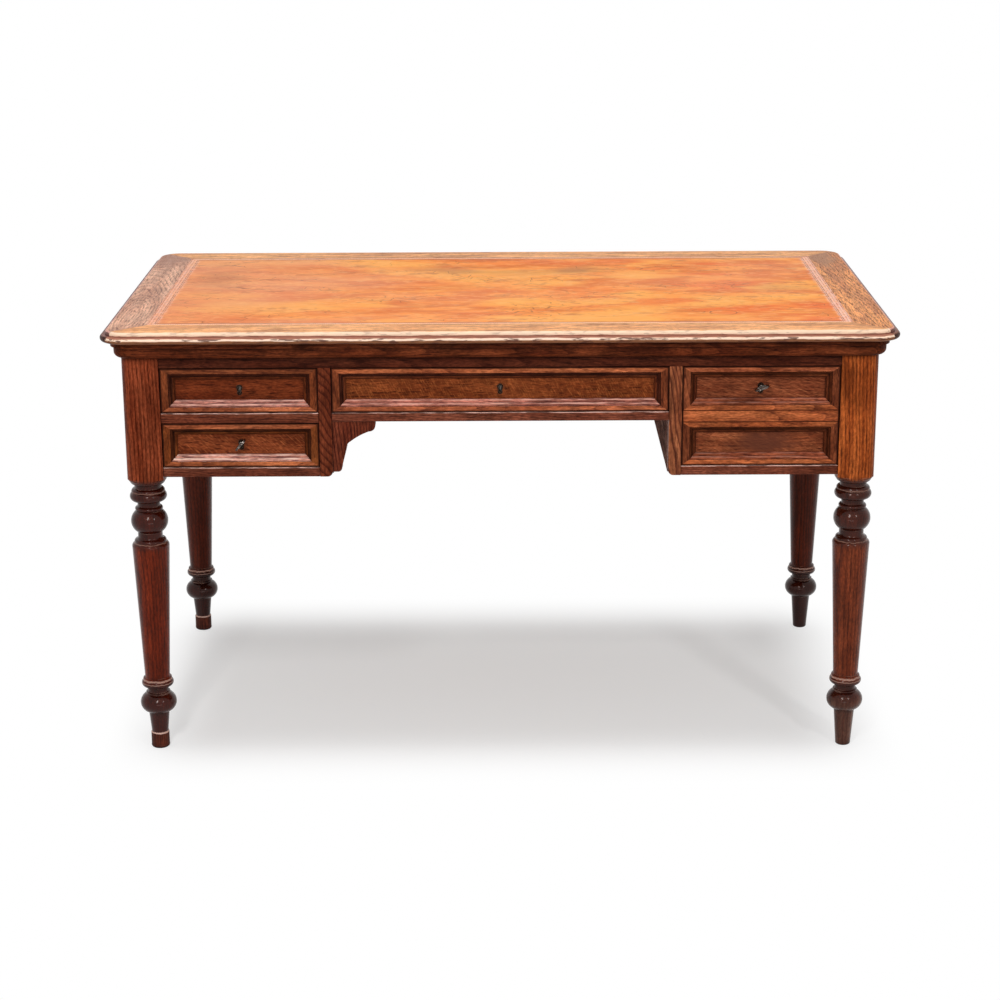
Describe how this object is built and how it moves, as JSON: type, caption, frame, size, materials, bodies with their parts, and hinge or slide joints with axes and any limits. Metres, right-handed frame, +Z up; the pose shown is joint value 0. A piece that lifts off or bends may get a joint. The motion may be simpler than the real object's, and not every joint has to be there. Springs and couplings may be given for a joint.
{
  "type": "writing desk",
  "caption": "Oak writing desk with a leather top, turned legs, a kneehole and framed lockable drawers.",
  "frame": {"origin": "on the floor under the middle of the top", "axes": "+X along the desk to the right as seen from the front, -Y is the front, +Z up"},
  "size_m": [1.338, 0.74, 0.76],
  "materials": {
    "turned_oak": "waxed",
    "carcass_oak": "waxed",
    "drawer_oak": "waxed",
    "top_oak": "worn wax",
    "plain_oak": "bare",
    "leather": "polished",
    "dull_brass": "tarnished",
    "lock_steel": "dull",
    "key_iron": "worn"
  },
  "bodies": {
    "desk": {"leg_front_left": "turned_oak", "leg_front_right": "turned_oak", "leg_back_left": "turned_oak", "leg_back_right": "turned_oak", "foot_tips": "turned_oak", "top_front_rail": "top_oak", "top_back_rail": "top_oak", "top_left_end": "top_oak", "top_right_end": "top_oak", "top_core_panel": "plain_oak", "leather_writing_surface": "leather", "cornice_moulding": "carcass_oak", "front_top_rail": "carcass_oak", "left_mid_rail": "carcass_oak", "centre_rail": "carcass_oak", "pedestal_bottom_rails": "carcass_oak", "front_stiles": "carcass_oak", "knee_bracket": "carcass_oak", "kneehole_side_left": "carcass_oak", "kneehole_side_right": "carcass_oak", "end_panel_left": "carcass_oak", "end_panel_right": "carcass_oak", "back_frame": "carcass_oak", "back_panels": "carcass_oak", "drawer_runners": "plain_oak", "drawer_kickers": "plain_oak"},
    "left_upper_drawer": {"left_upper_drawer_front": "drawer_oak", "left_upper_front_frame": "drawer_oak", "left_upper_drawer_sides": "plain_oak", "left_upper_drawer_back": "plain_oak", "left_upper_drawer_bottom": "plain_oak", "left_upper_keyhole_plate": "dull_brass", "left_upper_lock_case": "lock_steel"},
    "left_upper_bolt": {"left_upper_lock_bolt": "lock_steel"},
    "left_lower_drawer": {"left_lower_drawer_front": "drawer_oak", "left_lower_front_frame": "drawer_oak", "left_lower_drawer_sides": "plain_oak", "left_lower_drawer_back": "plain_oak", "left_lower_drawer_bottom": "plain_oak", "left_lower_keyhole_plate": "dull_brass", "left_lower_lock_case": "lock_steel"},
    "left_lower_bolt": {"left_lower_lock_bolt": "lock_steel"},
    "centre_drawer": {"centre_drawer_front": "drawer_oak", "centre_front_frame": "drawer_oak", "centre_drawer_sides": "plain_oak", "centre_drawer_back": "plain_oak", "centre_drawer_bottom": "plain_oak", "centre_keyhole_plate": "dull_brass", "centre_lock_case": "lock_steel"},
    "centre_bolt": {"centre_lock_bolt": "lock_steel"},
    "right_drawer": {"right_drawer_front": "drawer_oak", "right_front_frame": "drawer_oak", "right_drawer_sides": "plain_oak", "right_drawer_back": "plain_oak", "right_drawer_bottom": "plain_oak", "right_keyhole_plate": "dull_brass", "right_lock_case": "lock_steel"},
    "right_bolt": {"right_lock_bolt": "lock_steel"},
    "left_lower_key": {"left_lower_key": "key_iron"},
    "right_key": {"right_key": "key_iron"}
  },
  "joints": [
    {"name": "left_upper_drawer_slide", "type": "slide", "parent": "desk", "child": "left_upper_drawer", "axis": [0, -1, 0], "range_m": [0, 0.4]},
    {"name": "left_upper_bolt_slide", "type": "slide", "parent": "left_upper_drawer", "child": "left_upper_bolt", "axis": [0, 0, 1], "range_m": [0, 0.0055]},
    {"name": "left_lower_drawer_slide", "type": "slide", "parent": "desk", "child": "left_lower_drawer", "axis": [0, -1, 0], "range_m": [0, 0.4]},
    {"name": "left_lower_bolt_slide", "type": "slide", "parent": "left_lower_drawer", "child": "left_lower_bolt", "axis": [0, 0, 1], "range_m": [-0.00064, 0.00485]},
    {"name": "centre_drawer_slide", "type": "slide", "parent": "desk", "child": "centre_drawer", "axis": [0, -1, 0], "range_m": [0, 0.4]},
    {"name": "centre_bolt_slide", "type": "slide", "parent": "centre_drawer", "child": "centre_bolt", "axis": [0, 0, 1], "range_m": [0, 0.0055]},
    {"name": "right_drawer_slide", "type": "slide", "parent": "desk", "child": "right_drawer", "axis": [0, -1, 0], "range_m": [0, 0.4]},
    {"name": "right_bolt_slide", "type": "slide", "parent": "right_drawer", "child": "right_bolt", "axis": [0, 0, 1], "range_m": [-0.00107, 0.00443]},
    {"name": "left_lower_key_turn", "type": "hinge", "parent": "left_lower_drawer", "child": "left_lower_key", "pos_m": [-0.43925, -0.324, 0.5615], "axis": [0, 1, 0], "range_deg": [-42, 318]},
    {"name": "right_key_turn", "type": "hinge", "parent": "right_drawer", "child": "right_key", "pos_m": [0.43925, -0.324, 0.657], "axis": [0, 1, 0], "range_deg": [-70, 290]}
  ],
  "couplings": [
    {"joint": "left_lower_key_turn", "follows": "left_lower_bolt_slide", "rad_per_m": 1142.9},
    {"joint": "right_key_turn", "follows": "right_bolt_slide", "rad_per_m": 1142.9}
  ]
}
